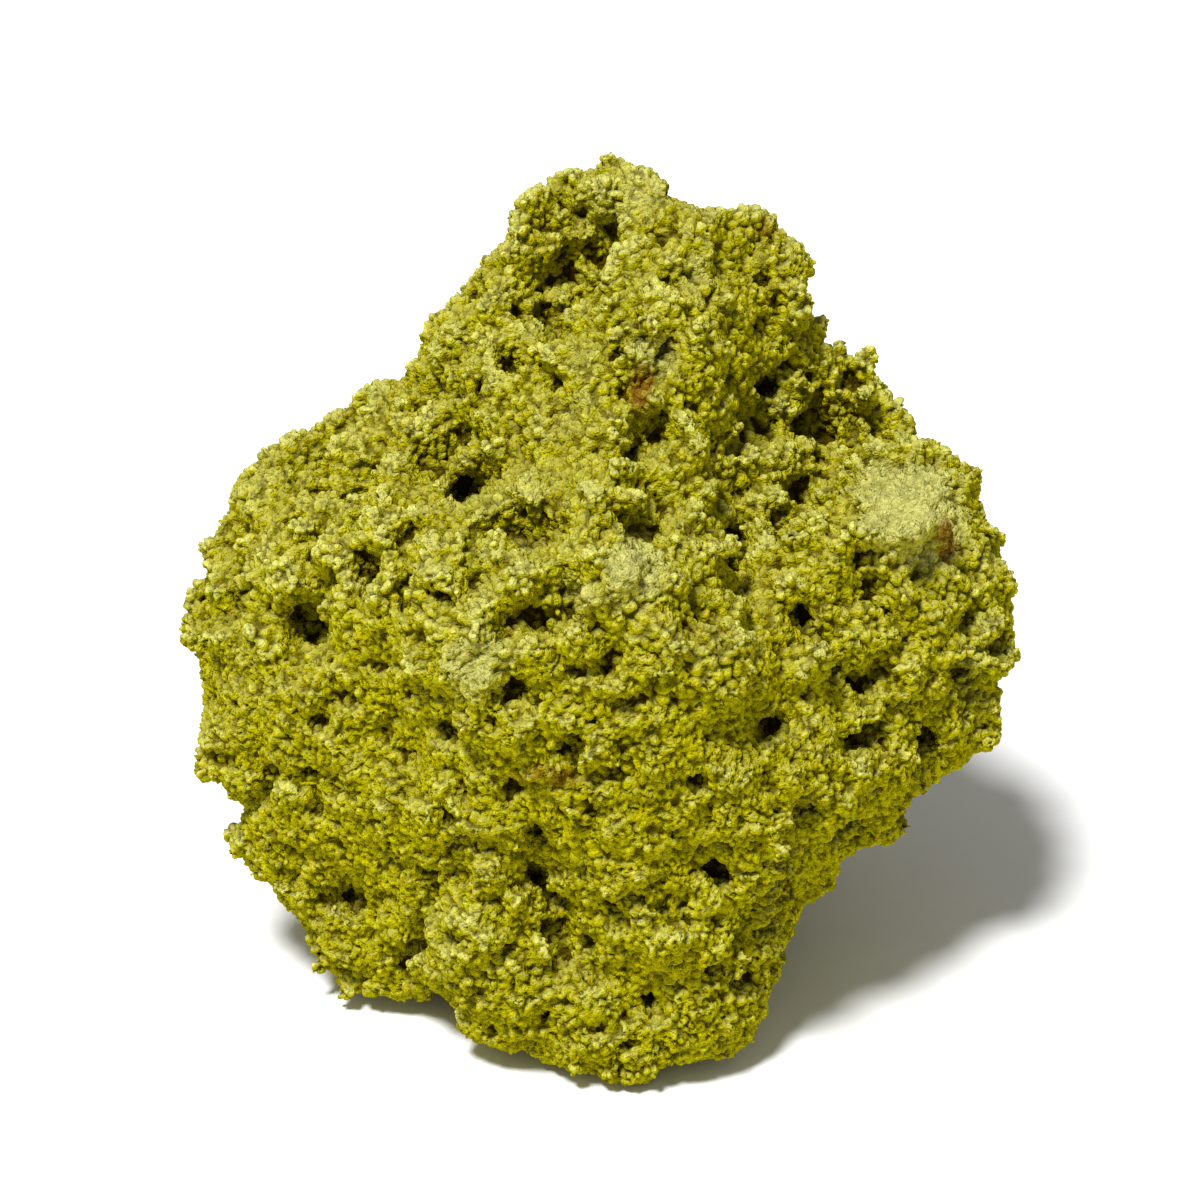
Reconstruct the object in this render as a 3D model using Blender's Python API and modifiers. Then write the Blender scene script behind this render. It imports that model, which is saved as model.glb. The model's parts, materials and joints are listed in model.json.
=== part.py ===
"""Nontronite specimen: one knobbly lump of yellow-green clay mineral, resting on the worn flat patch under it.

The lump is hewn first: its corners are placed by hand and joined up as they are seen from the heart of the
stone. Its faces are then covered in knobs and hollows, and its underside is ground flat.

Metres, +Z up, broad side towards -Y. The origin is on the flat patch, straight below the heart.
"""

import math

import bmesh
import bpy
from mathutils import Vector, noise

NAME = "specimen"
MM = 0.001

# Driving dimensions. The stone is seen best from LEAN above its broad side, so its corners are placed in a
# plane that leans back by LEAN: millimetres across, up that plane, and out of it towards the broad side.
HEART_HEIGHT = 40.8 * MM
LEAN = math.radians(30)
HEWN_GRID = 1.4 * MM
WEAR_PASSES = 3
KNOBBLY_GRID = 1.0 * MM
KEPT_FACES = 0.16
GROUND_SIZE = 200 * MM

# The outline of the widest section, clockwise from the peak.
OUTLINE = (
    (1.5, 46.5, -2), (5, 44.5, -1), (9.5, 41.5, -1), (16.5, 42, -3), (19.5, 39.5, -4), (21.5, 35, -4),
    (20.5, 30.5, -6), (26, 28.5, -9), (29.5, 25.5, -9), (31, 21.5, -9), (36.5, 17.5, -7), (39.5, 11, -4),
    (42, 4, -3), (41.5, -4, -3), (39.5, -11.5, -4), (31.5, -16.5, -4), (30.5, -21.5, -6), (24, -22.5, -8),
    (21.5, -28, -9), (16, -34, -7), (17.5, -38.5, -6), (16, -45, -3), (6, -46.5, 1), (-4, -44.5, 1),
    (-12.5, -44.5, -3), (-24.5, -38.5, -12), (-32.5, -33, -11), (-37, -26.5, -8), (-36.5, -18.5, -6),
    (-40.5, -14.5, -5), (-39.5, -8, -4), (-42, -2, -3), (-40.5, 7, -4), (-37.5, 13.5, -5), (-33, 16.5, -5),
    (-26, 21, -6), (-19.5, 25, -5), (-16.5, 30.5, -5), (-12.5, 36, -4), (-8, 37, -2), (-7, 40, -3),
    (-4.5, 43.5, -3),
)

# Corners of the broad side: the crown, the spine below it, the slopes on either hand, the brow that crosses
# the stone from end to end, the corner that stands out on the right, and the faces under the brow.
CROWN = ((3, 41, 4), (-5, 39, 2), (-1, 34.5, 2), (5.5, 36, 6), (13, 37, 3), (16, 32, 0))
SPINE = ((5, 28, 12), (3, 21, 13), (2.5, 14, 18), (4, 7, 23.5))
LEFT_SLOPE = ((-12, 28, 4.5), (-10, 20, 8), (-11, 13, 12), (-18, 21, 1), (-16, 14, 5), (-20, 12, 7),
              (-27, 14, 1.5), (-32, 11, 1), (-24, 9, 10))
RIGHT_SLOPE = ((11, 20, 8), (12, 12, 13), (15, 6, 13), (18, 24, -1), (24, 19, -5), (20, 13, 4), (24, 8, 6),
               (34, 16, -1))
BROW = ((-35, 2, 4), (-28, 3, 9), (-20, 4, 15), (-13, -2, 21), (-5, 4, 24), (3, 0, 25.5), (12, -2, 22.5),
        (17, -2, 17), (24, 0, 11))
RIGHT_CORNER = ((28, 13, 6), (32, 10, 9), (29, 4, 11), (33, -3, 9.5), (38, 3, 3), (37, -6, 4))
FACES_BELOW = (
    (-33, -8, 3), (-22, -9, 10.5), (-30, -19, 0), (-20, -20, 7), (-11, -12, 17), (-25, -28, -4),
    (-13, -28, 7), (-17, -35, -3), (-8, -37, 4), (-3, -9, 22.5), (5, -12, 21), (-2, -20, 16), (-5, -27, 9),
    (5, -29, 12), (1, -38, 6), (13, -12, 18.5), (21, -12, 14), (14, -23, 13), (29, -11, 9), (27, -18, 5),
    (20, -27, 4), (13, -35, 6), (9, -42, 2),
)

# Corners of the far side and the underside: millimetres to the right, back and up from the heart.
FAR_SIDE = (
    (1, 36, 23), (-12, 30, 18), (14, 31, 21), (-9, 39, 5), (12, 36, 9), (3, 34, 1), (-27, 27, 2), (-36, 18, 4),
    (29, 25, 4), (36, 17, 2), (-17, 36, -8), (1, 40, -8), (18, 32, -9), (-29, 24, -12), (31, 25, -11),
    (-38, 12, -10), (38, 13, -8), (-8, 35, -18), (9, 37, -20), (-21, 28, -22), (21, 29, -21), (-32, 14, -22),
    (32, 13, -20), (0, 31, -29), (-14, 27, -31), (14, 25, -31),
)
UNDERSIDE = (
    (0, 20, -40), (-11, 17, -41), (12, 16, -41), (-19, 9, -40), (17, 8, -39), (-18, -5, -39), (15, -5, -39),
    (-12, -15, -40), (12, -16, -40), (0, -18, -41), (0, 6, -41), (-26, 4, -33), (22, 4, -31), (-25, 15, -31),
    (24, 16, -30), (0, 27, -36), (-28, -6, -27), (20, -7, -27),
)

# Single lumps (+) and hollows (-) of the broad side: millimetres across and up, radius, height.
LUMPS_AND_HOLLOWS = (
    (31, 11, 5.0, 1.5), (25, 26, 3.5, 2.0), (15.5, 40, 2.5, 1.2), (6, 27, 3.5, 1.5), (2, 14, 3.0, 1.5),
    (3.5, 5.5, 4.0, 1.5), (-5, 5.5, 3.0, 1.5), (-12.5, -4, 4.0, 1.5), (-13, 7, 3.0, 1.5), (12, -3.5, 3.5, 1.5),
    (-12, -32, 4.0, 2.0), (22, 19.5, 4.0, -4.5), (16.5, 24, 2.5, -3.0), (13.5, 10.5, 2.8, -4.0),
    (14, 4.5, 2.4, -3.5), (5.5, 9.5, 2.2, -4.0), (-13.5, 13.5, 3.0, -4.5), (-27, 15.5, 2.6, -4.5),
    (-18, 21, 2.2, -3.0), (-12.5, 18, 2.0, -3.0), (-2.5, 34.5, 3.0, -4.0), (15.5, 36, 2.0, -3.0),
    (20, 12, 2.4, -3.5), (19, 1.5, 2.2, -3.5), (16, -10, 2.6, -4.0), (24, -6, 2.6, -3.5), (25, -12.5, 2.2, -3.0),
    (33, -12, 2.8, -3.0), (36, -6, 2.0, -2.5), (-5.5, -23, 2.8, -3.5), (-6.5, -28, 2.8, -4.0),
    (-3, -31.5, 2.2, -3.0), (0.5, -32.5, 2.0, -3.0), (11.5, -24, 2.0, -3.0), (-21, -12, 2.6, -3.5),
    (5.5, -38, 2.2, -3.0), (-18, -33, 2.2, -3.0), (-24, -28, 2.4, -2.5), (-13, -25, 2.2, -2.5),
    (-29.5, -2.5, 2.0, -3.0), (19, -28.5, 2.0, -2.5),
)

# The knobs that cover it all, and the pits among them.
KNOB_SPACING = 7.5 * MM
KNOB_HEIGHT = 3.2 * MM
CREASE_DEPTH = 0.8 * MM
SWELL_SPACING = 15 * MM
SWELL_HEIGHT = 1.2 * MM
PIT_SPACING = 13 * MM
PIT_RADIUS = 2.4 * MM
PIT_DEPTH = 3.0 * MM
NOISE_START = Vector((3.1, 7.4, 1.9))

COLOUR = (0.31, 0.27, 0.018, 1)
ROUGHNESS = 0.95

ACROSS = Vector((1, 0, 0))
UP = Vector((0, math.sin(LEAN), math.cos(LEAN)))
OUT = ACROSS.cross(UP)
HEART = Vector((0, 0, HEART_HEIGHT))


def clear_scene():
    for item in list(bpy.data.objects):
        bpy.data.objects.remove(item)


def hewn_block():
    """The corners joined up: a hull round their directions from the heart, with each corner then put in place."""
    leaning = OUTLINE + CROWN + SPINE + LEFT_SLOPE + RIGHT_SLOPE + BROW + RIGHT_CORNER + FACES_BELOW
    places = [(ACROSS * across + UP * up + OUT * out) * MM for across, up, out in leaning]
    places += [Vector(corner) * MM for corner in FAR_SIDE + UNDERSIDE]
    shape = bmesh.new()
    corners = [shape.verts.new(place.normalized()) for place in places]
    bmesh.ops.convex_hull(shape, input=corners)
    for corner, place in zip(corners, places):
        corner.co = place
    bmesh.ops.recalc_face_normals(shape, faces=shape.faces[:])
    block = bpy.data.meshes.new(NAME)
    shape.to_mesh(block)
    shape.free()
    return block


def blended(mesh):
    """The block with its edges worn round, on an even grid that is fine enough for the knobs."""
    block = bpy.data.objects.new(NAME, mesh)
    bpy.context.scene.collection.objects.link(block)
    block.modifiers.new("Even grid", "REMESH").voxel_size = HEWN_GRID
    wear = block.modifiers.new("Wear", "SMOOTH")
    wear.factor = 0.5
    wear.iterations = WEAR_PASSES
    depsgraph = bpy.context.evaluated_depsgraph_get()
    worn = bpy.data.meshes.new_from_object(block.evaluated_get(depsgraph))
    bpy.data.objects.remove(block)
    return worn


def relief(point):
    """How far the surface stands out at a point given from the heart."""
    across, up, out = point.dot(ACROSS), point.dot(UP), point.dot(OUT)
    push = SWELL_HEIGHT * noise.fractal(point / SWELL_SPACING + NOISE_START, 1.0, 2.0, 2)
    nearest, next_nearest = noise.voronoi(point / KNOB_SPACING + NOISE_START)[0][:2]
    push += KNOB_HEIGHT * min(1.0, 1.6 * (next_nearest - nearest)) ** 0.5 - CREASE_DEPTH
    to_pit = noise.voronoi(point / PIT_SPACING - NOISE_START)[0][0] * PIT_SPACING / PIT_RADIUS
    push -= PIT_DEPTH * math.exp(-to_pit ** 4)
    if out > 0:
        for x, y, radius, height in LUMPS_AND_HOLLOWS:
            gap = math.hypot(across - x * MM, up - y * MM) / (radius * MM)
            push += height * MM * math.exp(-gap ** 4)
    return push


def add_relief(mesh):
    """Pushes each point of the mesh out along its normal."""
    moves = [vertex.normal * relief(vertex.co) for vertex in mesh.vertices]
    for vertex, move in zip(mesh.vertices, moves):
        vertex.co += move + HEART


def ground(collection):
    """The cutter that grinds the underside flat: a slab whose top is the surface that the stone rests on."""
    shape = bmesh.new()
    bmesh.ops.create_cube(shape, size=GROUND_SIZE)
    slab = bpy.data.meshes.new("ground")
    shape.to_mesh(slab)
    shape.free()
    cutter = bpy.data.objects.new("ground", slab)
    cutter.location.z = -GROUND_SIZE / 2
    cutter.hide_render = True
    cutter.display_type = "WIRE"
    collection.objects.link(cutter)
    return cutter


def clay_mineral():
    material = bpy.data.materials.new("yellow_green_clay")
    material.use_nodes = True
    shader = material.node_tree.nodes["Principled BSDF"]
    shader.inputs["Base Color"].default_value = COLOUR
    shader.inputs["Roughness"].default_value = ROUGHNESS
    shader.inputs["Metallic"].default_value = 0.0
    return material


def make_specimen(collection, cutter):
    """Hewn, worn and knobbly, then fused on a finer grid, thinned where it is flat and ground underneath."""
    mesh = blended(hewn_block())
    add_relief(mesh)
    mesh.materials.clear()
    mesh.materials.append(clay_mineral())
    specimen = bpy.data.objects.new(NAME, mesh)
    collection.objects.link(specimen)
    specimen.modifiers.new("Fuse", "REMESH").voxel_size = KNOBBLY_GRID
    specimen.modifiers.new("Thin", "DECIMATE").ratio = KEPT_FACES
    grind = specimen.modifiers.new("Grind", "BOOLEAN")
    grind.operation = "DIFFERENCE"
    grind.object = cutter


def make_collection(name):
    collection = bpy.data.collections.new(name)
    bpy.context.scene.collection.children.link(collection)
    return collection


def main():
    clear_scene()
    cutter = ground(make_collection("cutters"))
    make_specimen(make_collection("nontronite_specimen"), cutter)


main()
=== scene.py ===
"""Finish for a nontronite specimen: a skin of fused clay knobs with pits, voids and small rounded grains.

Run it as a script. The skin is one operator and the stage another, and the sizes and colours that a user
would change are properties of the scene. Metres, +Z up, broad side towards -Y.
"""

import json
import math

import bpy
import numpy as np
from bpy.props import FloatProperty, FloatVectorProperty, IntProperty, PointerProperty
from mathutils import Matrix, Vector
from mathutils.bvhtree import BVHTree

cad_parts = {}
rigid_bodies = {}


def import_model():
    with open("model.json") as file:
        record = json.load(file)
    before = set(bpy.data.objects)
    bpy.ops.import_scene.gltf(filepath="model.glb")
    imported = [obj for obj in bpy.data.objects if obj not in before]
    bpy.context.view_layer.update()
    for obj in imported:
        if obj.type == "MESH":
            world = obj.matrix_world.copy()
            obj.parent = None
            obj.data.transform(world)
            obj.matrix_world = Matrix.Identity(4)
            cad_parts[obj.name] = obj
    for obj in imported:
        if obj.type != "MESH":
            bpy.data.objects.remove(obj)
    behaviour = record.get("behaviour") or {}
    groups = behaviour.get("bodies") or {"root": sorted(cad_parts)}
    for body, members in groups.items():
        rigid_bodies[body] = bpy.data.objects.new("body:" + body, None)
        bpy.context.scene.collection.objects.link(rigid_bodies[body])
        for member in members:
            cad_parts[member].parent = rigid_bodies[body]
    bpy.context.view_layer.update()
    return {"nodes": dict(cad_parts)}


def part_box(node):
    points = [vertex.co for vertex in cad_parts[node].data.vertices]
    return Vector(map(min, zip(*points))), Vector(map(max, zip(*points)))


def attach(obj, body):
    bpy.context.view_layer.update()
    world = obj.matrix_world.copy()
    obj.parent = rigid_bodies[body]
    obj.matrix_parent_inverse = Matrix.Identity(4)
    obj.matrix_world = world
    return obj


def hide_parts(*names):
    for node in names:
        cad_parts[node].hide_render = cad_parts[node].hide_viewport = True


bl_info = {
    "name": "Nontronite specimen finish",
    "version": (1, 0, 0),
    "blender": (4, 5, 0),
    "location": "View3D > Sidebar > Specimen",
    "description": "Covers a lump of clay mineral in knobs, pits and grains",
    "category": "Object",
}

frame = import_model()
BODY = "root"
NODE = "specimen"
MM = 0.001

LOW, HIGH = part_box(NODE)
MIDDLE_Y = (LOW.y + HIGH.y) / 2
# The broad side leans back by this much. Places on it are given in its own plane, as millimetres across
# and up from the heart of the stone, which is about halfway up its box.
LEAN = math.radians(30)
HEART_HEIGHT = 0.508
HEART = Vector((0, 0, HEART_HEIGHT * HIGH.z))
ACROSS = Vector((1, 0, 0))
UP = Vector((0, math.sin(LEAN), math.cos(LEAN)))
OUT = ACROSS.cross(UP)

# Broad hollows of the broad side, and swellings where the depth is below 0: across, up, radius, depth.
HOLLOWS = (
    (21.0, 19.0, 5.0, 4.2), (-2.5, 36.0, 3.6, 4.0), (13.0, 8.5, 4.0, 3.6), (-13.6, 16.5, 2.4, 3.2),
    (-27.3, 15.8, 1.8, 2.0), (-5.5, -25.0, 2.8, 2.6), (-2.5, -30.5, 2.5, 2.4), (16.5, 34.0, 2.2, 2.2),
    (27.0, -8.0, 4.5, 2.0), (5.4, 9.6, 1.8, 2.0), (15.8, -9.6, 2.2, 2.0), (13.4, 0.0, 2.5, 1.4),
    (12.0, -22.0, 3.0, 1.2), (-21.0, -11.0, 3.0, 1.2), (33.0, -12.0, 2.5, 1.6), (-8.0, -15.5, 3.0, 1.0),
    (3.0, 42.0, 5.0, -1.2), (-14.0, 4.5, 6.0, -1.8), (-3.0, 3.0, 5.0, -1.6), (3.5, 5.0, 3.0, -1.6),
    (-22.0, 7.0, 5.0, -1.2), (4.5, 26.0, 3.5, -1.8), (-11.5, 28.0, 3.0, -1.0), (31.0, 10.5, 5.0, -1.6),
    (11.0, 31.5, 3.0, -1.8), (-12.5, -3.5, 4.0, -1.4), (-6.0, 15.0, 2.5, -1.2), (10.0, -3.0, 4.0, -1.2),
    (38.0, -2.0, 4.0, -1.0), (-14.0, -32.0, 4.0, -1.2), (2.0, -22.0, 4.0, -1.0), (6.0, -31.0, 3.0, -1.0),
)
# Pits of the broad side, and notches where they lie past its outline: across, up, radius, depth.
PITS = (
    (-27.3, 15.6, 1.2, 2.8), (-13.4, 18.0, 1.3, 4.0), (-13.6, 13.4, 1.3, 4.0), (-18.0, 21.4, 0.9, 3.0),
    (5.4, 9.6, 1.5, 4.0), (20.5, 19.5, 1.5, 4.0), (23.5, 18.5, 1.4, 4.0), (16.8, 23.5, 1.0, 3.0),
    (13.7, 13.0, 1.1, 3.5), (14.2, 8.5, 1.1, 3.5), (13.4, 5.0, 1.0, 3.0), (19.8, 12.0, 1.2, 3.5),
    (-2.2, 34.9, 1.3, 3.0), (1.2, 38.0, 0.9, 2.5), (-5.0, 33.5, 0.9, 2.5), (15.7, 36.0, 1.1, 3.0),
    (16.2, -10.0, 1.1, 3.0), (24.8, -12.0, 1.2, 3.0), (19.2, 1.5, 0.9, 2.5), (36.2, -6.0, 1.1, 3.0),
    (32.2, -12.0, 1.2, 3.0), (24.7, -6.0, 1.0, 3.0), (-6.3, -25.0, 1.1, 3.0), (-3.8, -28.2, 1.1, 3.0),
    (-1.0, -31.8, 1.1, 3.0), (11.2, -24.0, 1.0, 2.5), (-20.8, -11.5, 1.0, 2.5), (5.2, -37.0, 1.0, 2.5),
    (-18.3, -33.0, 1.0, 2.5), (-24.8, -28.0, 0.9, 2.5), (-7.8, -16.0, 0.8, 2.5), (-29.8, -2.0, 0.9, 2.5),
    (17.6, -25.6, 1.1, 3.0), (-36.0, 6.0, 0.9, 2.5), (-22.0, 5.5, 0.8, 2.5), (-8.5, 25.0, 1.0, 2.5),
    (3.0, -8.0, 0.8, 2.0), (-34.0, -14.0, 0.8, 2.0), (27.0, 3.0, 0.9, 2.5), (9.0, -15.0, 0.8, 2.0),
    (-40.8, 10.0, 1.4, 0.2), (-33.2, -30.9, 1.4, 0.2), (19.8, -41.0, 1.2, 0.2), (-9.8, 39.6, 1.2, 0.2),
    (22.4, 34.0, 1.2, 0.2),
)
# Lumps that fill out the outline of the broad side: across, up, radius.
LUMPS = (
    (-2.0, 43.4, 2.4), (1.4, 45.0, 2.4), (4.2, 43.4, 2.2), (13.0, 40.6, 1.6), (15.6, 40.4, 1.7),
    (24.0, 27.6, 1.6), (27.4, 23.4, 1.8), (29.6, 19.6, 1.8), (35.2, 15.6, 2.3), (37.4, 12.4, 2.2),
    (39.0, 8.0, 2.3), (39.6, 4.6, 1.9), (28.6, -20.6, 2.1), (22.0, -26.4, 2.0), (-13.4, 32.0, 1.8),
    (-18.2, 25.2, 1.6), (-22.4, 22.8, 1.6), (-26.8, 19.8, 1.9), (-31.4, 16.4, 1.7), (-35.8, 12.6, 1.8),
    (-40.8, -1.2, 2.0), (-40.2, 2.2, 1.7), (-38.9, -14.4, 2.0), (-34.2, -25.0, 1.9), (-26.0, -32.4, 1.6),
)
# Pale dusty patches of the broad side: across, up, half width, half height, strength.
DUST = (
    (31.0, 10.5, 5.5, 6.0, 1.0), (0.5, 41.5, 6.5, 3.0, 0.55), (10.0, 34.0, 2.2, 3.0, 0.55),
    (12.5, 30.5, 2.2, 2.6, 0.5), (5.5, 26.0, 3.0, 2.4, 0.6), (3.5, 4.5, 3.0, 4.0, 0.85),
    (-11.5, -4.0, 3.2, 3.4, 0.75), (38.0, -4.0, 2.6, 7.0, 0.55), (-2.4, 3.0, 3.0, 2.6, 0.6),
    (-12.0, 11.0, 4.0, 3.0, 0.4), (-20.0, 4.5, 8.0, 3.2, 0.42), (10.0, -3.0, 6.0, 2.6, 0.5),
    (-6.0, 14.0, 2.2, 4.0, 0.45), (-9.0, 5.0, 6.0, 3.2, 0.42), (38.5, 5.0, 2.2, 5.0, 0.5),
    (-14.0, 27.0, 5.0, 3.0, 0.38), (-2.0, 20.0, 2.5, 4.0, 0.38), (-36.0, -4.0, 3.0, 12.0, 0.36),
    (-16.0, -33.0, 6.0, 3.5, 0.36), (4.0, -18.0, 5.0, 3.0, 0.34),
)
# Rust-brown stains of the broad side, given in the same way.
RUST = (
    (4.2, 22.5, 1.1, 2.0, 1.0), (34.2, 8.0, 0.9, 2.0, 1.0), (-4.8, -15.0, 5.0, 1.3, 0.45),
    (10.2, -1.0, 3.0, 1.3, 0.45), (17.0, 39.5, 2.2, 1.2, 0.4), (4.5, 0.5, 3.0, 2.0, 0.4),
    (23.0, 21.5, 2.5, 1.2, 0.35), (-32.0, -11.0, 2.0, 1.5, 0.35),
)

# The pieces of the skin, and the directions between which each lies, in degrees round from the broad side.
SKIN_PIECES = (
    ("skin_front_left", -72, -24), ("skin_front", -24, 16), ("skin_front_right", 16, 64),
    ("skin_right", 64, 124), ("skin_back", 124, 180), ("skin_back_left", -180, -128),
    ("skin_left", -128, -72),
)
# WAVES are the width and the strength of a noise. A SPAN is two values between which something grows from
# none to all, or from its third value to its fourth where it has four.

# The copy of the solid: the gap that merges its points, its grid before and after it is drawn in, and the
# steps that this takes.
MERGE_GAP = 0.01 * MM
COPY_GRID = 0.8 * MM
CORE_GRID = 0.7 * MM
INSET_STEPS = 4
CORE_WAVES = (8.0 * MM, 2.0 * MM)
# Rounds of averaging, which set how wide the skin is that a point is measured against.
FILL_ROUNDS = (8, 5)
WIDE_ROUNDS = 110
DEPTH_ROUNDS = (("near_depth", 6), ("mid_depth", 20), ("far_depth", WIDE_ROUNDS))
# Ridges are raised by this share of how far they stand out already, up to a limit.
RIDGE_GAIN = 0.35
RIDGE_LIMIT = 1.0 * MM
# Low on the broad side everything is finer: the span below the heart and the span in front of it.
LOW_SPAN = (2.0 * MM, -10.0 * MM)
FRONT_SPAN = (-14.0 * MM, -2.0 * MM)
# Hollows end this far behind the heart, in millimetres.
HOLLOWS_BACK = -15.0
# Skin counts as beside a spot up to so many square millimetres past the square of the least distance.
BESIDE = 4.0
# The mouth of a pit is looked for from this far out.
RAY_START = 0.1

# The pits: how their rims wander, how far behind its mouth a pit ends, the fall of its wall in shares of its
# radius, and how much of its depth is sunk before the knobs heaped round it give the rest.
RIM_WAVES = (1.7 * MM, 5.0 * MM)
PIT_BACK_SPAN = (-7.0 * MM, -9.0 * MM)
WALL_SPAN = (1.5, 0.9)
PIT_SINK = 0.7

# The layers of knobs: how high each lies in the shell over the core, and the least heaping noise it needs.
KNOB_LAYERS = ((0.2, -0.11), (0.43, -0.04), (0.64, 0.01))
# Most points tried a square metre.
POINTS_TRIED = 1.0e7
# Least and greatest size of a knob, wander of its level in the shell, and how far it or a lump is squashed.
KNOB_SIZES = (0.75, 1.25)
KNOB_LEVELS = (-0.12, 0.12)
KNOB_SQUASH = 0.2
LUMP_SQUASH = 0.1
# The share of its size that a knob stays clear of a pit, and how much less heaping noise a fine one needs.
KNOB_CLEARANCE = 0.7
FINE_EASE = 0.03
KNOB_WAVES = (3.0 * MM, 1.5 * MM)
# The seeds of the knobs' sizes count on from this.
SIZE_SEED = 20

# What stands further than this out of the solid is drawn back by this share of the excess.
STANDING_OUT = 1.2 * MM
DRAWN_BACK = 0.85
# The voids among the knobs: their spacing against the given one, and the distance from the middle of a
# cell beyond which (1) or within which (-1) the skin is sunk. These are gaps between clumps, and small holes.
VOIDS = ((1.0, 0.69, 1.0), (0.62, 0.31, -1.0))
# One noise bends the cells, another shifts the limit, and the walls fall over this span of the distance.
VOID_WAVES = (1.6 * MM, 1.6 * MM)
VOID_LIMIT_WAVES = (7.0 * MM, 0.5)
VOID_SPAN = (-0.045, 0.045)
# Voids fade where the skin lies deep under the solid, and where it stands out of it.
VOID_FLOOR_SPAN = (-7.5 * MM, -4.5 * MM)
VOID_TOP_SPAN = (1.0 * MM, 0.0)
# A body with fewer points than this is a loose crumb.
CRUMB_POINTS = 20000.0

# Dust and rust: a patch falls off at this rate, and noises fray its edge.
PATCH_FALL = 0.6
FRAY_WAVES = (6.0 * MM, 1.0)
FINE_FRAY_WAVES = (1.8 * MM, 0.9)
DUST_SPAN = (0.3, 0.75)
DUST_FADE_SPAN = (0.05, 0.85, 0.2, 1.0)
RUST_SPAN = (0.25, 0.75)
RUST_FADE_SPAN = (0.05, 0.35)
# On the far side, which has no patches of its own, dust and rust are strewn by noise.
FAR_SIDE_SPAN = (-8.0 * MM, -18.0 * MM)
STREWN_DUST_SIZE = 14.0 * MM
STREWN_DUST_SPAN = (0.06, 0.24, 0.0, 0.7)
STREWN_RUST_SIZE = 7.0 * MM
STREWN_RUST_SPAN = (-0.22, -0.3, 0.0, 0.9)
# Thick dust is a crust that fills the skin: its span, rounds of averaging, rise and share.
CRUST_SPAN = (0.6, 0.95)
CRUST_ROUNDS = 10
CRUST_RISE = 0.4 * MM
CRUST_SHARE = 0.5
SKIN_WAVES = (1.5 * MM, 0.9 * MM)

# The grains: widths of the two kinds against the given one, and the noises that bend their edges. A grain is
# a dome with this fall, its crease is as wide as this share of it, and its 0 lies this far below its top.
GRAIN_WIDTHS = (1.0, 0.68)
GRAIN_WAVES = ((1.6 * MM, 1.1 * MM), (0.5 * MM, 0.25 * MM))
CREASE = 0.3
DOME_FALL = 1.2
GRAIN_LEVEL = 0.45
DEEPEST_CREASE = -1.0
# The second kind lies where noise of this size passes the limit, as fine parts do more often. It is lower
# by this share, and so are grains under a crust.
KIND_SIZE = 3.0 * MM
KIND_LIMIT = 0.06
FINE_PUSH = 0.1
KIND_LOWER = 0.3
CRUST_LOWER = 0.6

# Colours, with painted shade: the depths and heads of grains that darken a point in pits, voids and creases
# to the painted shade colour, or pale it to crest, which is partly pale dust and partly painted highlight.
NEAR_SHADE_SPAN = (0.1 * MM, 0.6 * MM, 0.0, 0.8)
MID_SHADE_SPAN = (0.2 * MM, 1.4 * MM)
HEAD_SHADE_SPAN = (0.1, -0.6, 0.0, 0.7)
MID_CREST_SPAN = (0.0, -1.1 * MM)
FAR_CREST_SPAN = (0.5 * MM, -3.0 * MM)
HEAD_CREST_SPAN = (0.1, 0.5, -0.2, 0.35)
# Painted light: crest, painted highlight and dust show only where a point faces this way, near where the sun
# comes from, so lit sides are paler and the others stay as painted shade; how far each needs to face it.
PAINTED_LIGHT_FROM = (-0.22, -0.3, 1.0)
CREST_LIGHT_SPAN = (0.3, 0.9)
PAINTED_HIGHLIGHT_SPAN = (0.6, 1.0)
DUST_LIGHT_SPAN = (0.0, 0.75, 0.2, 1.0)
# Noises that break up crest and rust and that speckle and warm the clay, and the light of a grain.
CREST_PATCH_SIZE = 5.0 * MM
RUST_PATCH_SIZE = 0.8 * MM
RUST_PATCH_SPAN = (-0.12, 0.08, 0.45, 1.0)
SPECKLE_WAVES = (0.35 * MM, 0.9)
WARMTH_WAVES = (0.6 * MM, 0.3)
TINT_GAIN = 0.3
TINT_BASE = 0.85
COLOUR_NAMES = ("Clay", "Painted_highlight", "Painted_shade", "Crest_and_highlight", "Dust", "Rust")
CLAY_ROUGHNESS = 0.95
CLAY_SHEEN = 0.06
# The powder on the grains is bump alone.
POWDER_SIZE = 0.3 * MM
POWDER_HEIGHT = 0.6 * MM

# The stage. The camera looks straight at the broad side, a little up and across from the heart.
FLOOR_SIZE = 3.0
FLOOR_DROP = 0.2 * MM
FLOOR_GREY = 0.9
FLOOR_ROUGHNESS = 0.9
ROOM_LIGHT = 0.28
SUN_LIGHT = 4.3
SUN_SPREAD = math.radians(12)
SUN_FROM = (-0.26, -0.38, 1)
LENS = 120
SENSOR = 36
CAMERA_AWAY = 0.4
CAMERA_UP = 2.0 * MM
CAMERA_ACROSS = 0.2 * MM


# ------------------------------------------------------------------------------------ properties

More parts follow.
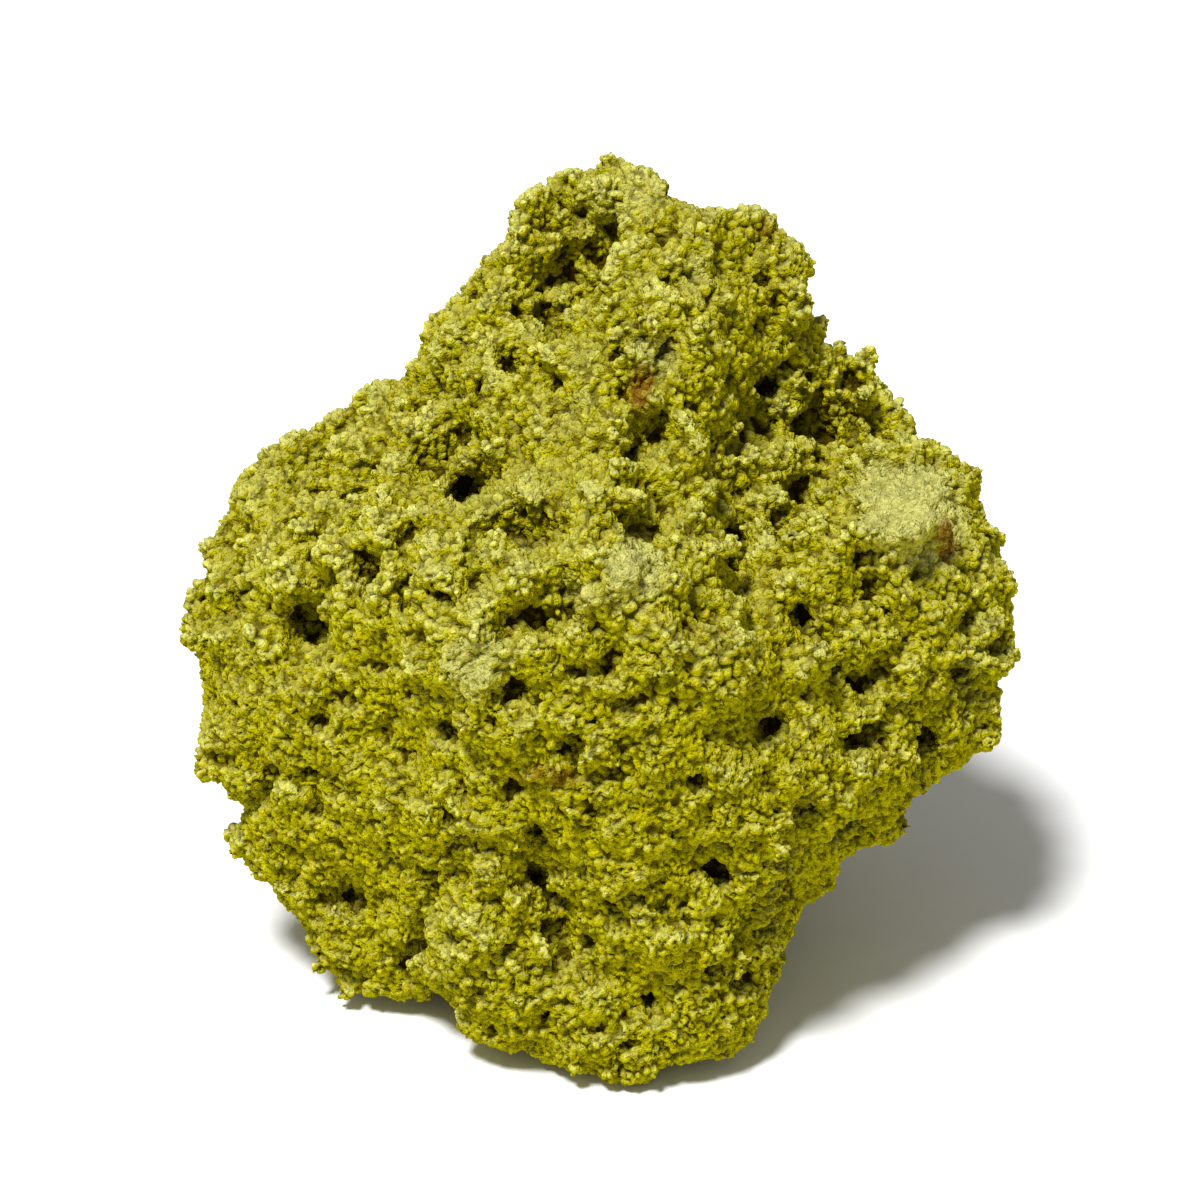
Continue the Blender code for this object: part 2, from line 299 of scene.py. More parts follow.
class ClaySizes(bpy.types.PropertyGroup):
    inset: FloatProperty(
        name="Inset", description="How far the skin under the knobs lies inside the solid",
        default=3.85 * MM, unit="LENGTH")
    knob_gap: FloatProperty(
        name="Knob spacing", description="Least distance between two knobs",
        default=1.7 * MM, unit="LENGTH")
    knob_radius: FloatProperty(
        name="Knob radius", description="Radius of a middling knob", default=1.25 * MM, unit="LENGTH")
    clump_size: FloatProperty(
        name="Clump size", description="Size of the clumps of knobs and of the gaps between them",
        default=4.2 * MM, unit="LENGTH")
    grain_size: FloatProperty(
        name="Grain size", description="Width of a middling grain", default=1.05 * MM, unit="LENGTH")
    grain_height: FloatProperty(
        name="Grain height", description="How far a middling grain stands out",
        default=0.7 * MM, unit="LENGTH")
    void_gap: FloatProperty(
        name="Void spacing", description="Space between the small voids among the knobs",
        default=4.8 * MM, unit="LENGTH")
    void_depth: FloatProperty(
        name="Void depth", description="How deep the small voids go", default=3.6 * MM, unit="LENGTH")
    fineness: FloatProperty(
        name="Fineness", description="Size of knobs and voids low on the broad side against the others",
        default=0.72, min=0.4, max=1.0)
    skin_grid: FloatProperty(
        name="Skin grid", description="Grid on which skin and knobs are fused",
        default=0.62 * MM, unit="LENGTH")
    seed: IntProperty(name="Seed", description="Changes where the knobs fall", default=7)


class ClayColours(bpy.types.PropertyGroup):
    clay: FloatVectorProperty(
        name="Clay", description="Yellow-green of the grains", subtype="COLOR", size=4,
        default=(0.475, 0.432, 0.0, 1))
    # Painted highlight: paler clay on what faces the light.
    painted_highlight: FloatVectorProperty(
        name="Painted_highlight", description="Paler clay where fine dust has settled on it", subtype="COLOR", size=4,
        default=(0.46, 0.42, 0.05, 1))
    # Painted shade: the dark olive that pits, voids and creases are darkened to where they lie deep.
    painted_shade: FloatVectorProperty(
        name="Painted_shade", description="Deep olive in the pits", subtype="COLOR", size=4,
        default=(0.075, 0.052, 0.0, 1))
    # Partly pale dust on what stands out, partly painted highlight, as it shows only where that faces the
    # light.
    crest_and_highlight: FloatVectorProperty(
        name="Crest_and_highlight", description="Paler green on what stands out", subtype="COLOR", size=4,
        default=(0.65, 0.635, 0.15, 1))
    dust: FloatVectorProperty(
        name="Dust", description="Pale dusty patches", subtype="COLOR", size=4,
        default=(0.55, 0.535, 0.15, 1))
    rust: FloatVectorProperty(
        name="Rust", description="Brown stains", subtype="COLOR", size=4,
        default=(0.21, 0.09, 0.004, 1))


# --------------------------------------------------------------------------------------- helpers

def make_active(piece):
    for item in bpy.context.view_layer.objects:
        item.select_set(False)
    piece.select_set(True)
    bpy.context.view_layer.objects.active = piece


def apply_modifier(piece, kind, **values):
    """Adds a modifier to a piece, sets its values and applies it."""
    make_active(piece)
    modifier = piece.modifiers.new(kind.title(), kind)
    for name, value in values.items():
        setattr(modifier, name, value)
    bpy.ops.object.modifier_apply(modifier=modifier.name)


def apply_nodes(piece, tree, values):
    """Applies a geometry node tree to a piece, with the values of its inputs by name."""
    make_active(piece)
    modifier = piece.modifiers.new(tree.name, "NODES")
    modifier.node_group = tree
    for item in tree.interface.items_tree:
        if item.name in values:
            modifier[item.identifier] = values[item.name]
    bpy.ops.object.modifier_apply(modifier=modifier.name)


def add_node(tree, kind, links=None, **values):
    """A new node, its values set and its inputs linked to sockets or set to plain values."""
    node = tree.nodes.new(kind)
    for name, value in values.items():
        setattr(node, name, value)
    for key, source in (links or {}).items():
        if isinstance(source, bpy.types.NodeSocket):
            tree.links.new(source, node.inputs[key])
        else:
            node.inputs[key].default_value = source
    return node


def maths(tree, operation, *sources, clamp=False):
    links = dict(enumerate(sources))
    return add_node(tree, "ShaderNodeMath", links, operation=operation, use_clamp=clamp).outputs[0]


def vector_maths(tree, operation, *sources):
    node = add_node(tree, "ShaderNodeVectorMath", dict(enumerate(sources)), operation=operation)
    return node.outputs["Value" if operation in {"DOT_PRODUCT", "LENGTH", "DISTANCE"} else "Vector"]


def scaled(tree, vector, scale):
    return add_node(tree, "ShaderNodeVectorMath", {0: vector, "Scale": scale}, operation="SCALE").outputs[0]


def stretched(tree, value, low, high, to_low=0.0, to_high=1.0):
    """The value carried smoothly from one range to another and kept inside it."""
    links = {"Value": value, "From Min": low, "From Max": high, "To Min": to_low, "To Max": to_high}
    return add_node(tree, "ShaderNodeMapRange", links, interpolation_type="SMOOTHSTEP").outputs["Result"]


def noise(tree, position, size, detail=2.0):
    """Noise about 0, with lumps of this size."""
    links = {"Vector": position, "Scale": 1.0 / size, "Detail": detail}
    return maths(tree, "SUBTRACT", add_node(tree, "ShaderNodeTexNoise", links).outputs[0], 0.5)


def drift(tree, position, size, strength):
    """An offset that wanders over lumps of this size."""
    links = {"Vector": position, "Scale": 1.0 / size, "Detail": 1.0}
    colour = add_node(tree, "ShaderNodeTexNoise", links).outputs["Color"]
    return scaled(tree, vector_maths(tree, "SUBTRACT", colour, (0.5, 0.5, 0.5)), strength)


def geometry_tree(name, sizes=()):
    """A geometry node tree that takes and gives a geometry: the tree, what it takes and its end."""
    tree = bpy.data.node_groups.new(name, "GeometryNodeTree")
    tree.interface.new_socket("Geometry", in_out="INPUT", socket_type="NodeSocketGeometry")
    for size in sizes:
        kind = "NodeSocketInt" if size == "Seed" else "NodeSocketFloat"
        tree.interface.new_socket(size, in_out="INPUT", socket_type=kind)
    tree.interface.new_socket("Geometry", in_out="OUTPUT", socket_type="NodeSocketGeometry")
    return tree, tree.nodes.new("NodeGroupInput").outputs, tree.nodes.new("NodeGroupOutput").inputs[0]


def position_and_normal(tree):
    return (add_node(tree, "GeometryNodeInputPosition").outputs[0],
            add_node(tree, "GeometryNodeInputNormal").outputs[0])


def random_value(tree, low, high, seed):
    """A random number for each point, or a random vector if low and high are vectors."""
    vector = isinstance(low, tuple)
    first = 0 if vector else 2
    node = add_node(tree, "FunctionNodeRandomValue", {first: low, first + 1: high, "Seed": seed},
                    data_type="FLOAT_VECTOR" if vector else "FLOAT")
    return node.outputs[0 if vector else 1]


def compared(tree, value, operation, limit):
    return add_node(tree, "FunctionNodeCompare", {0: value, 1: limit}, operation=operation).outputs[0]


def either(tree, first, second):
    return add_node(tree, "FunctionNodeBooleanMath", {0: first, 1: second}, operation="OR").outputs[0]


def attribute(tree, name):
    return add_node(tree, "GeometryNodeInputNamedAttribute", {"Name": name}, data_type="FLOAT").outputs[0]


def stored(tree, geometry, name, value):
    links = {"Geometry": geometry, "Name": name, "Value": value}
    return add_node(tree, "GeometryNodeStoreNamedAttribute", links, data_type="FLOAT").outputs[0]


def moved(tree, geometry, offset):
    return add_node(tree, "GeometryNodeSetPosition", {"Geometry": geometry, "Offset": offset}).outputs[0]


def placed(tree, geometry, place):
    return add_node(tree, "GeometryNodeSetPosition", {"Geometry": geometry, "Position": place}).outputs[0]


def blurred(tree, position, rounds):
    return add_node(tree, "GeometryNodeBlurAttribute", {"Value": position, "Iterations": rounds},
                    data_type="FLOAT_VECTOR").outputs[0]


def sunk(tree, position, normal, rounds):
    """How deep a point lies under the mean of the surface round it."""
    away = vector_maths(tree, "SUBTRACT", blurred(tree, position, rounds), position)
    return vector_maths(tree, "DOT_PRODUCT", normal, away)


def above_ground(tree, geometry, position):
    """The geometry with what would reach under the ground set down on it."""
    parts = add_node(tree, "ShaderNodeSeparateXYZ", {0: position}).outputs
    level = maths(tree, "MAXIMUM", parts["Z"], 0.0)
    place = add_node(tree, "ShaderNodeCombineXYZ", {"X": parts["X"], "Y": parts["Y"], "Z": level}).outputs[0]
    return placed(tree, geometry, place)


def in_front_of_heart(tree, position):
    """How far a point lies out from the heart, square to the broad side."""
    off = vector_maths(tree, "SUBTRACT", position, tuple(HEART))
    return vector_maths(tree, "DOT_PRODUCT", off, tuple(OUT))


def fine_share(tree, position):
    """1 on the lower part of the broad side, where everything is finer, and 0 elsewhere."""
    off = vector_maths(tree, "SUBTRACT", position, tuple(HEART))
    low = stretched(tree, vector_maths(tree, "DOT_PRODUCT", off, tuple(UP)), *LOW_SPAN)
    front = stretched(tree, in_front_of_heart(tree, position), *FRONT_SPAN)
    return maths(tree, "MULTIPLY", low, front)


def finer(tree, fine, fineness):
    """The scale of knobs and voids: 1, and the given fineness where the part is fine."""
    return maths(tree, "MULTIPLY_ADD", fine, maths(tree, "SUBTRACT", fineness, 1.0), 1.0)


def scattered(tree, geometry, selection, spacing, seed):
    """Points on a surface that keep their distance from one another."""
    links = {"Mesh": geometry, "Selection": selection, "Distance Min": spacing,
             "Density Max": POINTS_TRIED, "Seed": seed}
    return add_node(tree, "GeometryNodeDistributePointsOnFaces", links, distribute_method="POISSON").outputs


def balls_on(tree, points, radius, roundness, uneven):
    """A lump on each point, turned at random and squashed by up to this share."""
    ball = add_node(tree, "GeometryNodeMeshIcoSphere", {"Radius": 1.0, "Subdivisions": roundness}).outputs[0]
    squash = random_value(tree, (1 - uneven,) * 3, (1 + uneven,) * 3, seed=3)
    turn = random_value(tree, (0.0, 0.0, 0.0), (2 * math.pi,) * 3, seed=5)
    links = {"Points": points, "Instance": ball, "Rotation": turn, "Scale": scaled(tree, squash, radius)}
    lumps = add_node(tree, "GeometryNodeInstanceOnPoints", links).outputs[0]
    return add_node(tree, "GeometryNodeRealizeInstances", {"Geometry": lumps}).outputs[0]


def in_the_plane(mesh):
    """Each point's place across, up and out from the heart in millimetres, and how far it faces out."""
    places = np.empty(len(mesh.vertices) * 3, np.float32)
    normals = np.empty_like(places)
    mesh.vertices.foreach_get("co", places)
    mesh.vertex_normals.foreach_get("vector", normals)
    axes = np.array((ACROSS, UP, OUT), np.float32).T
    places = (places.reshape(-1, 3) - np.array(HEART, np.float32)) @ axes / MM
    return places, normals.reshape(-1, 3) @ axes[:, 2]


# -------------------------------------------------------------------------------------- the skin

def copy_of_solid(name):
    """A copy of the solid with its loose triangles merged."""
    piece = bpy.data.objects.new(name, frame["nodes"][NODE].data.copy())
    bpy.context.scene.collection.objects.link(piece)
    make_active(piece)
    bpy.ops.object.mode_set(mode="EDIT")
    bpy.ops.mesh.select_all(action="SELECT")
    bpy.ops.mesh.remove_doubles(threshold=MERGE_GAP)
    bpy.ops.object.mode_set(mode="OBJECT")
    return piece


def press_hollows(piece):
    """Sinks the broad hollows of the broad side, and raises its swellings."""
    mesh = piece.data
    places, facing = in_the_plane(mesh)
    depth = np.zeros(len(places), np.float32)
    for across, up, radius, deep in HOLLOWS:
        off = ((places[:, 0] - across) ** 2 + (places[:, 1] - up) ** 2) / radius ** 2
        depth += deep * np.exp(-off)
    turned_out = np.clip(facing * 1.5 + 0.3, 0, 1)
    depth *= turned_out * (places[:, 2] > HOLLOWS_BACK) * MM
    spots = np.empty(len(places) * 3, np.float32)
    mesh.vertices.foreach_get("co", spots)
    spots = spots.reshape(-1, 3) - depth[:, None] * np.array(OUT, np.float32)
    mesh.vertices.foreach_set("co", spots.ravel())
    mesh.update()


def pit_points(piece):
    """An object of loose points, one in the mouth of each pit, with the pit's radius and depth."""
    tree = BVHTree.FromObject(piece, bpy.context.evaluated_depsgraph_get())
    places = in_the_plane(piece.data)[0]
    spots, radii, depths = [], [], []
    for across, up, radius, depth in PITS:
        start = HEART + ACROSS * across * MM + UP * up * MM + OUT * RAY_START
        spots.append(tree.ray_cast(start, -OUT)[0] or beside_the_skin(places, across, up))
        radii.append(radius * MM)
        depths.append(depth * MM)
    return loose_points("pits", spots, {"radius": radii, "depth": depths})


def lump_points(piece):
    """An object of loose points, one in each lump of the outline, with the lump's radius."""
    places = in_the_plane(piece.data)[0]
    spots = [beside_the_skin(places, across, up) for across, up, _ in LUMPS]
    return loose_points("lumps", spots, {"radius": [radius * MM for _, _, radius in LUMPS]})


def beside_the_skin(places, across, up):
    """The spot at this place in the plane, as far out as the skin nearest to it there."""
    off = (places[:, 0] - across) ** 2 + (places[:, 1] - up) ** 2
    near = places[off < off.min() + BESIDE]
    return HEART + (ACROSS * across + UP * up + OUT * float(near[:, 2].mean())) * MM


def loose_points(name, spots, values):
    """An object of points without edges, with its values written on them by name."""
    mesh = bpy.data.meshes.new(name)
    mesh.from_pydata(spots, [], [])
    for key, numbers in values.items():
        mesh.attributes.new(key, "FLOAT", "POINT").data.foreach_set("value", numbers)
    points = bpy.data.objects.new(name, mesh)
    bpy.context.scene.collection.objects.link(points)
    return points


def mark_patches(piece, name, patches):
    """Writes how strongly each point of a piece lies in these patches of its broad side."""
    places, facing = in_the_plane(piece.data)
    strength = np.zeros(len(places), np.float32)
    for across, up, half_width, half_height, most in patches:
        off = ((places[:, 0] - across) / half_width) ** 2 + ((places[:, 1] - up) / half_height) ** 2
        strength = np.maximum(strength, most * np.exp(-PATCH_FALL * off ** 1.5))
    not_turned_away = np.clip(facing + 1.2, 0, 1)
    not_behind = np.clip(places[:, 2] / 8 + 2.2, 0, 1)
    strength *= not_turned_away * not_behind
    layer = piece.data.attributes.new(name, "FLOAT", "POINT")
    layer.data.foreach_set("value", strength.astype(np.float32))


def ground_tree():
    """Fills the narrow hollows of the mesh, heightens its ridges and moves it inwards."""
    tree, given, end = geometry_tree("Ground", ("Inset", "Fineness"))
    position, normal = position_and_normal(tree)
    geometry = given["Geometry"]
    for rounds in FILL_ROUNDS:
        fill = maths(tree, "MAXIMUM", sunk(tree, position, normal, rounds), 0.0)
        geometry = moved(tree, geometry, scaled(tree, normal, fill))
    heighten = maths(tree, "MULTIPLY", sunk(tree, position, normal, WIDE_ROUNDS), -RIDGE_GAIN)
    heighten = maths(tree, "MINIMUM", heighten, RIDGE_LIMIT)
    geometry = moved(tree, geometry, scaled(tree, normal, heighten))
    less = maths(tree, "SUBTRACT", 1.0, given["Fineness"])
    less = maths(tree, "MULTIPLY", fine_share(tree, position), less)
    share = 1.0 / INSET_STEPS
    step = maths(tree, "MULTIPLY", given["Inset"], maths(tree, "MULTIPLY_ADD", less, share, -share))
    for _ in range(INSET_STEPS):
        geometry = moved(tree, geometry, scaled(tree, normal, step))
        geometry = placed(tree, geometry, blurred(tree, position, 2))
    width, height = CORE_WAVES
    rough = maths(tree, "MULTIPLY", noise(tree, position, width), height)
    tree.links.new(moved(tree, geometry, scaled(tree, normal, rough)), end)
    return tree


def knob_tree(pits, lumps):
    """Sinks the pits and heaps up knobs in clumps over the rest, finer low on the broad side."""
    tree, given, end = geometry_tree("Knobs", ("Shell", "Spacing", "Radius", "Clump", "Fineness", "Seed"))
    position = add_node(tree, "GeometryNodeInputPosition").outputs[0]
    mouths = add_node(tree, "GeometryNodeObjectInfo", {"Object": pits}).outputs["Geometry"]
    nearest = add_node(tree, "GeometryNodeSampleNearest", {"Geometry": mouths}).outputs[0]

    def of_the_pit(value, kind="FLOAT"):
        links = {"Geometry": mouths, "Value": value, "Index": nearest}
        return add_node(tree, "GeometryNodeSampleIndex", links, data_type=kind).outputs[0]

    off = vector_maths(tree, "SUBTRACT", position, of_the_pit(position, "FLOAT_VECTOR"))
    in_front = vector_maths(tree, "DOT_PRODUCT", off, tuple(OUT))
    beside = vector_maths(tree, "SUBTRACT", off, scaled(tree, tuple(OUT), in_front))
    width, strength = RIM_WAVES
    beside = maths(tree, "MULTIPLY_ADD", noise(tree, position, width), strength,
                   vector_maths(tree, "LENGTH", beside))
    beside = maths(tree, "ADD", beside, stretched(tree, in_front, *PIT_BACK_SPAN))
    pit_radius = of_the_pit(attribute(tree, "radius"))
    hole = stretched(tree, maths(tree, "DIVIDE", beside, pit_radius), *WALL_SPAN)
    sink = maths(tree, "MULTIPLY", hole, of_the_pit(attribute(tree, "depth")))
    sink = maths(tree, "MULTIPLY", sink, -PIT_SINK)
    core = moved(tree, given["Geometry"], scaled(tree, tuple(OUT), sink))
    join = add_node(tree, "GeometryNodeJoinGeometry")
    tree.links.new(core, join.inputs[0])
    lumps = add_node(tree, "GeometryNodeObjectInfo", {"Object": lumps}).outputs["Geometry"]
    tree.links.new(balls_on(tree, lumps, attribute(tree, "radius"), 3, LUMP_SQUASH), join.inputs[0])
    fine = fine_share(tree, position)
    number = 0
    # The coarse part has no share in what makes knobs finer, and the fine part has all of it.
    for operation, share in (("LESS_EQUAL", 0.0), ("GREATER_THAN", 1.0)):
        here = compared(tree, fine, operation, 0.5)
        scale = finer(tree, share, given["Fineness"])
        gap = maths(tree, "MULTIPLY", given["Spacing"], scale)
        clump = maths(tree, "MULTIPLY", given["Clump"], scale)
        clumps = add_node(tree, "ShaderNodeCombineXYZ", {0: clump, 1: clump, 2: clump}).outputs[0]
        heap = noise(tree, vector_maths(tree, "DIVIDE", position, clumps), 1.0, 1.0)
        for height, least in KNOB_LAYERS:
            number += 1
            points = scattered(tree, core, here, gap, maths(tree, "ADD", given["Seed"], number))
            size = random_value(tree, *KNOB_SIZES, SIZE_SEED + number)
            size = maths(tree, "MULTIPLY", maths(tree, "MULTIPLY", size, given["Radius"]), scale)
            level = maths(tree, "ADD", random_value(tree, *KNOB_LEVELS, number), height)
            level = maths(tree, "MULTIPLY", maths(tree, "MULTIPLY", level, scale), given["Shell"])
            spots = moved(tree, points["Points"], scaled(tree, points["Normal"], level))
            clear = maths(tree, "MULTIPLY_ADD", size, KNOB_CLEARANCE, pit_radius)
            doomed = either(tree, compared(tree, heap, "LESS_THAN", least - FINE_EASE * share),
                            compared(tree, beside, "LESS_THAN", clear))
            links = {"Geometry": spots, "Selection": doomed}
            spots = add_node(tree, "GeometryNodeDeleteGeometry", links).outputs[0]
            tree.links.new(balls_on(tree, spots, size, 2, KNOB_SQUASH), join.inputs[0])
    tree.links.new(moved(tree, join.outputs[0], drift(tree, position, *KNOB_WAVES)), end)
    return tree


def porous_tree(solid):
    """Draws back what stands out of the solid, and sinks small voids in the skin."""
    tree, given, end = geometry_tree("Voids", ("Spacing", "Depth", "Fineness"))
    position, normal = position_and_normal(tree)
    target = add_node(tree, "GeometryNodeObjectInfo", {"Object": solid}).outputs["Geometry"]

    def on_the_solid(value):
        links = {"Mesh": target, "Value": value}
        return add_node(tree, "GeometryNodeSampleNearestSurface", links, data_type="FLOAT_VECTOR").outputs[0]

    away = on_the_solid(normal)
    off = vector_maths(tree, "SUBTRACT", position, on_the_solid(position))
    beyond = vector_maths(tree, "DOT_PRODUCT", off, away)
    excess = maths(tree, "SUBTRACT", vector_maths(tree, "LENGTH", off), STANDING_OUT)
    excess = maths(tree, "MAXIMUM", excess, 0.0)
    excess = maths(tree, "MULTIPLY", excess, compared(tree, beyond, "GREATER_THAN", 0.0))
    back = maths(tree, "MULTIPLY", excess, -DRAWN_BACK)
    geometry = moved(tree, given["Geometry"], scaled(tree, vector_maths(tree, "NORMALIZE", off), back))
    scale = finer(tree, fine_share(tree, position), given["Fineness"])
    place = vector_maths(tree, "ADD", position, drift(tree, position, *VOID_WAVES))
    width, strength = VOID_LIMIT_WAVES
    uneven = maths(tree, "MULTIPLY", noise(tree, position, width), strength)
    voids = []
    for share, limit, sign in VOIDS:
        width = maths(tree, "MULTIPLY", maths(tree, "MULTIPLY", given["Spacing"], share), scale)
        links = {"Vector": place, "Scale": maths(tree, "DIVIDE", 1.0, width)}
        cells = add_node(tree, "ShaderNodeTexVoronoi", links, voronoi_dimensions="3D", feature="F1").outputs
        past = maths(tree, "MULTIPLY", maths(tree, "SUBTRACT", cells["Distance"], limit), sign)
        voids.append(stretched(tree, maths(tree, "ADD", past, uneven), *VOID_SPAN))
    void = maths(tree, "MAXIMUM", voids[0], voids[1])
    marked = maths(tree, "MAXIMUM", attribute(tree, "dust"), attribute(tree, "rust"))
    deep = maths(tree, "MULTIPLY", void, maths(tree, "MULTIPLY_ADD", marked, -1.0, 1.0))
    deep = maths(tree, "MULTIPLY", deep, stretched(tree, beyond, *VOID_FLOOR_SPAN))
    deep = maths(tree, "MULTIPLY", deep, stretched(tree, beyond, *VOID_TOP_SPAN))
    deep = maths(tree, "MULTIPLY", deep, maths(tree, "MULTIPLY", given["Depth"], scale))
    geometry = moved(tree, geometry, scaled(tree, away, maths(tree, "MULTIPLY", deep, -1.0)))
    tree.links.new(geometry, end)
    return tree


def crumb_tree():
    """Deletes whatever hangs loose of the one big body."""
    tree, given, end = geometry_tree("Loose crumbs")
    island = add_node(tree, "GeometryNodeInputMeshIsland").outputs["Island Index"]
    links = {"Value": 1.0, "Group ID": island}
    points = add_node(tree, "GeometryNodeAccumulateField", links).outputs["Total"]
    links = {"Geometry": given["Geometry"], "Selection": compared(tree, points, "LESS_THAN", CRUMB_POINTS)}
    tree.links.new(add_node(tree, "GeometryNodeDeleteGeometry", links).outputs[0], end)
    return tree


def weather_tree():
    """Frays dust and rust, roughens the skin, fills it under a crust, and writes how deep each point lies."""
    tree, given, end = geometry_tree("Weather")
    position, normal = position_and_normal(tree)
    frays = []
    for width, strength in (FRAY_WAVES, FINE_FRAY_WAVES):
        frays.append(maths(tree, "MULTIPLY", noise(tree, position, width, 3.0), strength))
    fray = maths(tree, "ADD", *frays)
    behind = stretched(tree, in_front_of_heart(tree, position), *FAR_SIDE_SPAN)

    def frayed(name, size, strewn_span, span, fade_span):
        """The strength of dust or rust, with what is strewn on the far side, and the same frayed."""
        strewn = stretched(tree, noise(tree, position, size, 1.0), *strewn_span)
        raw = maths(tree, "MAXIMUM", attribute(tree, name), maths(tree, "MULTIPLY", strewn, behind))
        worn = stretched(tree, maths(tree, "ADD", raw, fray), *span)
        return raw, maths(tree, "MULTIPLY", worn, stretched(tree, raw, *fade_span))

    dust, dusty = frayed("dust", STREWN_DUST_SIZE, STREWN_DUST_SPAN, DUST_SPAN, DUST_FADE_SPAN)
    geometry = stored(tree, given["Geometry"], "smooth", stretched(tree, dust, *CRUST_SPAN))
    geometry = stored(tree, geometry, "dust", dusty)
    rusty = frayed("rust", STREWN_RUST_SIZE, STREWN_RUST_SPAN, RUST_SPAN, RUST_FADE_SPAN)[1]
    geometry = stored(tree, geometry, "rust", rusty)
    width, height = SKIN_WAVES
    rough = maths(tree, "MULTIPLY", noise(tree, position, width, 1.0), height)
    geometry = moved(tree, geometry, scaled(tree, normal, rough))
    filled = vector_maths(tree, "SUBTRACT", blurred(tree, position, CRUST_ROUNDS), position)
    filled = vector_maths(tree, "ADD", filled, scaled(tree, normal, CRUST_RISE))
    crust = maths(tree, "MULTIPLY", attribute(tree, "smooth"), CRUST_SHARE)
    geometry = moved(tree, geometry, scaled(tree, filled, crust))
    geometry = above_ground(tree, geometry, position)
    for name, rounds in DEPTH_ROUNDS:
        geometry = stored(tree, geometry, name, sunk(tree, position, normal, rounds))
    tree.links.new(geometry, end)
    return tree


def grain_tree():
    """Divides the skin finely and raises grains on it: domes with creases between them."""
    tree, given, end = geometry_tree("Grains", ("Size", "Height"))
    position, normal = position_and_normal(tree)
    geometry = add_node(tree, "GeometryNodeSubdivideMesh", {"Mesh": given["Geometry"], "Level": 1}).outputs[0]
    geometry = placed(tree, geometry, blurred(tree, position, 1))
    warped = position
    for width, strength in GRAIN_WAVES:
        warped = vector_maths(tree, "ADD", warped, drift(tree, position, width, strength))
    domes = []
    for size in GRAIN_WIDTHS:
        width = maths(tree, "MULTIPLY", given["Size"], size)
        links = {"Vector": warped, "Scale": maths(tree, "DIVIDE", 1.0, width)}
        cells = add_node(tree, "ShaderNodeTexVoronoi", links, voronoi_dimensions="3D", feature="F1").outputs
        edge = add_node(tree, "ShaderNodeTexVoronoi", links, feature="DISTANCE_TO_EDGE").outputs["Distance"]
        rise = maths(tree, "DIVIDE", edge, CREASE, clamp=True)
        rise = maths(tree, "SQRT", maths(tree, "MULTIPLY", rise, maths(tree, "SUBTRACT", 2.0, rise)))
        dome = maths(tree, "MULTIPLY", cells["Distance"], cells["Distance"])
        dome = maths(tree, "MULTIPLY", dome, -DOME_FALL)
        dome = maths(tree, "ADD", maths(tree, "SUBTRACT", rise, GRAIN_LEVEL), dome)
        domes.append((dome, cells["Color"]))
    push = maths(tree, "MULTIPLY", fine_share(tree, position), FINE_PUSH)
    choice = maths(tree, "ADD", noise(tree, position, KIND_SIZE), push)
    choice = maths(tree, "GREATER_THAN", choice, KIND_LIMIT)
    links = {"Factor": choice, 2: domes[0][0], 3: domes[1][0]}
    head = add_node(tree, "ShaderNodeMix", links, data_type="FLOAT").outputs[0]
    links = {"Factor": choice, 6: domes[0][1], 7: domes[1][1]}
    tint = add_node(tree, "ShaderNodeMix", links, data_type="RGBA").outputs[2]
    tint = add_node(tree, "ShaderNodeSeparateXYZ", {0: tint}).outputs[0]
    head = maths(tree, "MAXIMUM", head, DEEPEST_CREASE)
    height = maths(tree, "MULTIPLY", head, given["Height"])
    for share, lower in ((choice, KIND_LOWER), (attribute(tree, "smooth"), CRUST_LOWER)):
        height = maths(tree, "MULTIPLY", height, maths(tree, "MULTIPLY_ADD", share, -lower, 1.0))
    geometry = stored(tree, geometry, "head", head)
    geometry = stored(tree, geometry, "tint", tint)
    geometry = moved(tree, geometry, scaled(tree, normal, height))
    tree.links.new(above_ground(tree, geometry, position), end)
    return tree


def sector_tree():
    """Keeps the faces between two directions round the stone."""
    tree, given, end = geometry_tree("Sector", ("From", "To"))
    position = add_node(tree, "GeometryNodeInputPosition").outputs[0]
    parts = add_node(tree, "ShaderNodeSeparateXYZ", {0: position}).outputs
    turn = maths(tree, "ARCTAN2", parts["X"], maths(tree, "SUBTRACT", MIDDLE_Y, parts["Y"]))
    outside = either(tree, compared(tree, turn, "LESS_THAN", given["From"]),
                     compared(tree, turn, "GREATER_EQUAL", given["To"]))
    links = {"Geometry": given["Geometry"], "Selection": outside}
    tree.links.new(add_node(tree, "GeometryNodeDeleteGeometry", links, domain="FACE").outputs[0], end)
    return tree


